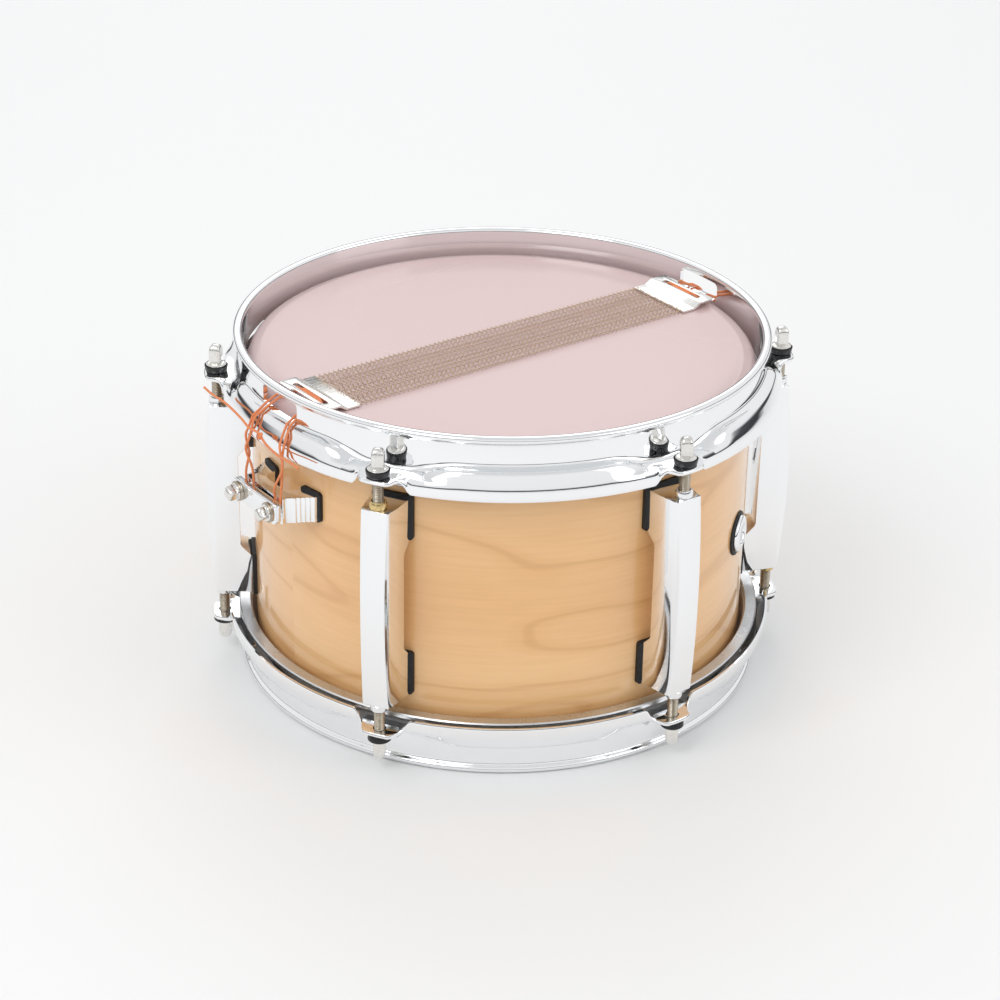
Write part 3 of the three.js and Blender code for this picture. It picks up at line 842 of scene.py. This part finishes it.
def make_nut(mat):
    """Swivel nut that stands out of a lug's bore."""
    z = LUG_TOP
    profile = [(2.95, z - 6), (3.8, z - 6), (3.8, z + 0.2), (4.2, z + 0.6), (4.25, z + 2.6), (3.9, z + 3.6),
               (3.3, z + 4.0), (2.95, z + 3.8)]
    nut = build("nut", *lathe(profile, 40), mat)
    nut.data.transform(TO_ROD)
    return nut


def make_lug_screw():
    """Hexagon-headed screw and washer that hold a lug, on the inside of the shell."""
    disc = cylinder("disc", 6.5, 0, 1.2, HARDWARE, 32)
    head = build("head", *lathe([(0, 1.2), (4.4, 1.2), (4.4, 4.6), (3.9, 5.0), (0, 5.0)], 6), HARDWARE)
    ob = joined("screw", [disc, head])
    ob.data.transform(move_by(x=119.4) @ Matrix.Rotation(-math.pi / 2, 4, "Y"))
    return ob


lug, screw = make_lug(), make_lug_screw()
gasket = shell_pad("pad", round_rect(10.5, 119.6, 142.8, 1.6), 127.35, 125.45, 127.6)
nut, brass_nut = make_nut(HARDWARE), make_nut(BRASS)
for i, angle in enumerate(LUG_ANGLES):
    n = i + 1
    place(moved(lug, turn(angle), f"lug_bar_{n}"), ROOT, "chrome", f"lug_{n}")
    for end, flip, screw_z in (("top", SAME, LUG_SCREW_Z), ("foot", FLIP, HEIGHT - LUG_SCREW_Z)):
        place(moved(gasket, flip @ turn(angle), f"lug_gasket_{n}_{end}"), ROOT, "rubber")
        this_nut = brass_nut if (n, end) in ((4, "top"), (6, "foot")) else nut
        place(moved(this_nut, flip @ turn(angle), f"swivel_nut_{n}_{end}"), ROOT, "steel")
        place(moved(screw, turn(angle) @ move_by(z=screw_z), f"lug_screw_{n}_{end}"), ROOT, "steel")
drop(lug, gasket, screw, nut, brass_nut)


# ---------------------------------------------------------------- air vent
def make_vent():
    """Profiles are (radius, distance from the drum's axis) about the vent's own axis."""
    body = [(4.7, 117), (5.9, 117), (5.9, 126.4), (8.9, 126.4), (9.5, 126.9), (9.4, 127.6), (8.4, 128.3),
            (6.9, 128.7), (5.7, 128.7), (4.9, 128.1), (4.7, 127.2)]
    ring = [(6.1, 124.7), (11.0, 124.7), (11.5, 125.2), (11.3, 126.1), (10.6, 126.5), (6.1, 126.4)]
    nut = [(6.0, 116.8), (9.2, 116.8), (9.6, 117.3), (9.6, 118.9), (6.0, 118.9)]
    for name, profile, steps, mat, angle, slot, nodes in (
            ("vent_body", body, 96, CHROME, 50, "chrome", ["air_vent"]),
            ("vent_ring", ring, 96, RUBBER, 40, "rubber", ["air_vent_gasket"]),
            ("vent_nut", nut, 6, HARDWARE, HARD_EDGE, "chrome", [])):
        ob = build(name, *lathe(profile, steps), mat, angle)
        ob.data.transform(AT_VENT)
        place(ob, ROOT, slot, *nodes)


make_vent()


# ---------------------------------------------------------------- butt and throw-off
def make_clamp_plate():
    plate = prism("clamp", round_rect(18.5, 116.5, 127.5, 1.6), 142.6, 146.4, CHROME, "YZ")
    return bevelled(plate, 0.7, segments=3, angle=40, limit=25)


def make_clamp_screw():
    """Square-headed screw with a split lock washer, along X."""
    shank = cylinder("shank", 2.2, 136.8, 147, ROD_STEEL, 24)
    lock = build("lock", *lathe([(2.4, 146.5), (4.9, 146.5), (5.0, 146.8), (5.0, 147.6), (4.8, 147.9),
                                 (2.4, 147.9)], 32), THREAD)
    collar = build("collar", *lathe([(0, 147.9), (4.2, 147.9), (4.4, 148.3), (4.1, 148.9), (0, 149.1)], 32),
                   ROD_STEEL)
    head = rings_to_mesh("head", [
        square_ring(2.9, 148.8, 0.4), square_ring(3.0, 149.4, 0.25), square_ring(3.0, 151.6, 0.25),
        square_ring(2.7, 152.6, 0.5), square_ring(1.9, 153.2, 0.8), square_ring(0.8, 153.5, 1.0)],
        ROD_STEEL, 40)
    ob = joined("clamp_screw", [shank, lock, collar, head])
    ob.data.transform(Z_TO_X)
    return ob


def make_butt():
    """Block on two feet, with an arch between them and sides fluted from the shell to the clamp."""
    steps, fluted = 56, 0.56  # the part of the side that has narrow flutes; one wide flute follows
    outline = []
    for i in range(steps + 1):
        u = i / steps
        if u < fluted:
            flute = 0.5 * abs(math.sin(math.pi * u / 0.14))
        else:
            flute = 1.1 * math.sin(math.pi * (u - fluted) / (1 - fluted))
        outline.append((127.0 + 14.0 * u, 17.0 + 6.2 * (1 - u) ** 1.5 - flute))
    plan = [(118, 23.2)] + outline + [(x, -y) for x, y in reversed(outline)] + [(118, -23.2)]
    block = prism("block", plan, 114.8, 127.8, CHROME)
    core = cylinder("core", 127.2, 100, 140, CHROME, WIDE_STEPS)
    arch = prism("arch", [(118, -11.6), (130.5, -11.2), (133.2, -9.6), (134.2, -6), (134.4, 0), (134.2, 6),
                          (133.2, 9.6), (130.5, 11.2), (118, 11.6)], 110, 132, CHROME)
    boolean(block, [core, arch])
    return bevelled(block, 0.4, segments=3, angle=35, limit=32)


def softened(node_name, new_name, body, width):
    """A bevelled, smooth-shaded chrome piece in the shape of a CAD node."""
    ob = linked(new_name, frame["nodes"][node_name].data.copy())
    ob.data.materials.clear()
    ob.data.materials.append(CHROME)
    bevelled(ob, width, segments=3, angle=40, limit=28)
    place(ob, body, "chrome", node_name)


clamp_plate, clamp_screw = make_clamp_plate(), make_clamp_screw()
butt = make_butt()
place(moved(butt, MIRROR_X, "butt_block"), ROOT, "chrome", "butt_base")
for i, y in enumerate((17.6, -17.6)):
    pad = shell_pad("butt_pad_blank", round_rect(6.8, 113.8, 129.6, 2.0, centre=y), 127.2, SHELL_R, 127.2)
    place(moved(pad, MIRROR_X, f"butt_pad_{i + 1}"), ROOT, "rubber", "butt_gasket")
    drop(pad)
place(moved(clamp_plate, MIRROR_X, "butt_clamp"), ROOT, "chrome", "butt_clamp_plate")
for i, y in enumerate((CLAMP_SCREW_Y, -CLAMP_SCREW_Y)):
    n = i + 1
    where = move_by(0, y, CLAMP_SCREW_Z) @ Matrix.Rotation(math.radians(25 + 30 * i), 4, "X")
    place(moved(clamp_screw, MIRROR_X @ where, f"butt_clamp_screw_{n}"), ROOT, "steel", f"butt_screw_{n}")
    place(moved(clamp_screw, where, f"throw_off_screw_{n}"), CARRIAGE, "steel", f"strainer_screw_{n}")
place(moved(clamp_plate, SAME, "throw_off_clamp"), CARRIAGE, "chrome", "strainer_clamp_plate")
drop(butt, clamp_plate, clamp_screw)

strainer_pad = shell_pad("throw_off_pad", round_rect(20.2, 94.8, 135.2, 3.5), 127.2, SHELL_R, 127.2)
place(strainer_pad, ROOT, "rubber", "strainer_gasket")
softened("strainer_base", "throw_off_base", ROOT, 0.8)
softened("strainer_carriage", "throw_off_slide", CARRIAGE, 0.5)
softened("strainer_lever", "throw_off_handle", "throw_off_lever", 0.7)


def make_knob():
    """Knurled fine-tension knob: where knurl is 1, two points in four are set back by the groove."""
    n, groove = 96, 0.32
    rings = []
    for r, z, knurl in ((4.9, 74.0, 0), (5.9, 74.5, 0), (6.3, 75.2, 1), (6.4, 76, 1), (6.4, 85.4, 1),
                        (6.3, 86.2, 1), (5.8, 86.9, 0), (4.6, 87.6, 0), (2.6, 88.4, 0), (2.5, 90.7, 0)):
        ring = []
        for k in range(n):
            a, radius = 2 * math.pi * k / n, r - groove * knurl * (k % 4 in (0, 1))
            ring.append((radius * math.cos(a), radius * math.sin(a), z))
        rings.append(ring)
    ob = rings_to_mesh("fine_tension_dial", rings, CHROME, 30)
    ob.data.transform(move_by(x=136.5))
    place(ob, "fine_tension_knob", "chrome", "tension_knob")


make_knob()


# ---------------------------------------------------------------- snare wires and end plates
def make_end_plate():
    """Stepped plate with a cord slot, a second slot and cut corners, before the shift."""
    low, thick = 166.6, 1.0
    top = [(99.5, low + thick), (106.6, low + thick), (107.3, low + 1.2), (110.5, low + 3.1),
           (111.3, low + 3.3), (120.5, low + 3.3)]
    under = [(120.5, low + 2.3), (111.6, low + 2.3), (110.9, low + 2.1), (107.9, low + 0.2), (107.1, low),
             (99.5, low)]
    plate = prism("plate", top + under, -20, 20, PLATE, "XZ")
    cutters = []
    for x, half, wide in ((SLOT_X, 14, 1.5), (119.9, 9, 1.2)):
        slot = prism("slot", round_rect(half, -wide, wide, wide * 0.98, steps=6), 160, 180, PLATE)
        slot.data.transform(move_by(x=x) @ turn(90))
        cutters.append(slot)
    for side in (-1, 1):
        corner = [(124, side * 24), (124, side * 17.5), (120.5, side * 18.6), (118.6, side * 20.1)]
        cutters.append(prism("corner", corner, 160, 180, PLATE))
    boolean(plate, cutters)
    return bevelled(plate, 0.18, segments=2, angle=30, limit=30)


def make_coils():
    """Twenty coiled strands, soldered between the end plates' inner strips."""
    strands, gap, z = 20, 2, 167.43
    turns, per_turn, coil_r, wire_r, wire_sides = 74, 10, 0.76, 0.19, 4
    x0, x1 = SNARE_SHIFT - 100.5, SNARE_SHIFT + 100.5
    count = turns * per_turn + 1
    verts, faces = [], []
    for s in range(strands):
        y = gap * (s - (strands - 1) / 2)
        hand = 1 if s % 2 == 0 else -1
        start = len(verts)
        for i in range(count):
            a = 2 * math.pi * i / per_turn * hand + s * 1.1
            x = x0 + (x1 - x0) * i / (count - 1)
            for k in range(wire_sides):
                b = 2 * math.pi * k / wire_sides
                r = coil_r + wire_r * math.cos(b)
                verts.append((x + wire_r * math.sin(b), y + r * math.cos(a), z + r * math.sin(a)))
        for i in range(count - 1):
            for k in range(wire_sides):
                a0 = start + i * wire_sides + k
                b0 = start + i * wire_sides + (k + 1) % wire_sides
                faces.append((a0, b0, b0 + wire_sides, a0 + wire_sides))
        faces.append(tuple(start + k for k in reversed(range(wire_sides))))
        faces.append(tuple(start + (count - 1) * wire_sides + k for k in range(wire_sides)))
    place(build("snare_coils", verts, faces, WIRE, 180), ROOT, "wire", "snare_wires")


end_plate = make_end_plate()
along = move_by(x=SNARE_SHIFT)
place(moved(end_plate, along, "end_plate_throw_off"), ROOT, "plated_steel", "snare_end_plate_strainer")
place(moved(end_plate, along @ MIRROR_X, "end_plate_butt"), ROOT, "plated_steel", "snare_end_plate_butt")
drop(end_plate)
make_coils()


# ---------------------------------------------------------------- materials of shown CAD nodes
SLOT_LOOKS = {"maple": MAPLE, "film": SNARE_FILM, "aluminium": ALUMINIUM, "chrome": CHROME,
              "steel": ROD_STEEL, "nylon": NYLON, "rubber": RUBBER, "plated_steel": PLATE, "wire": WIRE,
              "cord": CORD}
for part in frame["record"]["subparts"]:
    for s in frame["nodes"][part["node"]].material_slots:
        s.link = "OBJECT"
        s.material = SLOT_LOOKS[part["material_slot"]]


# ---------------------------------------------------------------- floor, lights, world
FLOOR_HALF, FLOOR_Z = 6000, -0.4
LIGHT_AIM = Vector((0, 0, 0.08))
WORLD_STRENGTH = 0.9


def area_light(name, location, size, power):
    """Square area light pointed at the drum."""
    data = bpy.data.lights.new(name, "AREA")
    data.energy, data.size = power, size
    light = linked(name, data)
    light.location = location
    light.rotation_mode = "QUATERNION"
    light.rotation_quaternion = (LIGHT_AIM - Vector(location)).to_track_quat("-Z", "Y")


def make_stage():
    m, b, t = material("studio_floor", (0.93, 0.93, 0.93), 0.6)
    vary_roughness(t, b, noise(t, coords(t), scale=6), 0.55, 0.65)
    corners = [(x * FLOOR_HALF, y * FLOOR_HALF, FLOOR_Z) for x, y in ((-1, -1), (1, -1), (1, 1), (-1, 1))]
    floor = build("floor", corners, [(0, 1, 2, 3)], m)
    area_light("key", (-1.6, -0.4, 1.9), size=1.2, power=12)
    area_light("fill", (0.9, -1.7, 1.2), size=1.4, power=4.5)
    area_light("back", (1.0, 1.6, 1.6), size=1.4, power=6)


def make_world():
    """White studio with a dark band just above the horizon, for the chrome to reflect."""
    world = bpy.data.worlds.new("studio")
    scene.world = world
    world.use_nodes = True
    t = world.node_tree
    background = t.nodes["Background"]
    tex = node(t, "ShaderNodeTexCoord")
    parts = node(t, "ShaderNodeSeparateXYZ")
    t.links.new(tex.outputs["Generated"], parts.inputs["Vector"])
    sky = ramp(t, spread(t, parts.outputs["Z"], 0, 1, at=(-1, 1)), [
        (0.0, (0.9, 0.9, 0.9)), (0.49, (0.55, 0.56, 0.57)), (0.505, (0.05, 0.05, 0.055)),
        (0.55, (0.08, 0.08, 0.09)), (0.60, (0.95, 0.96, 0.97)), (0.80, (1, 1, 1)),
        (0.93, (0.80, 0.81, 0.82))])
    t.links.new(sky, background.inputs["Color"])
    background.inputs["Strength"].default_value = WORLD_STRENGTH


make_stage()
make_world()
scene.view_settings.view_transform = "Standard"
scene.view_settings.look = "None"
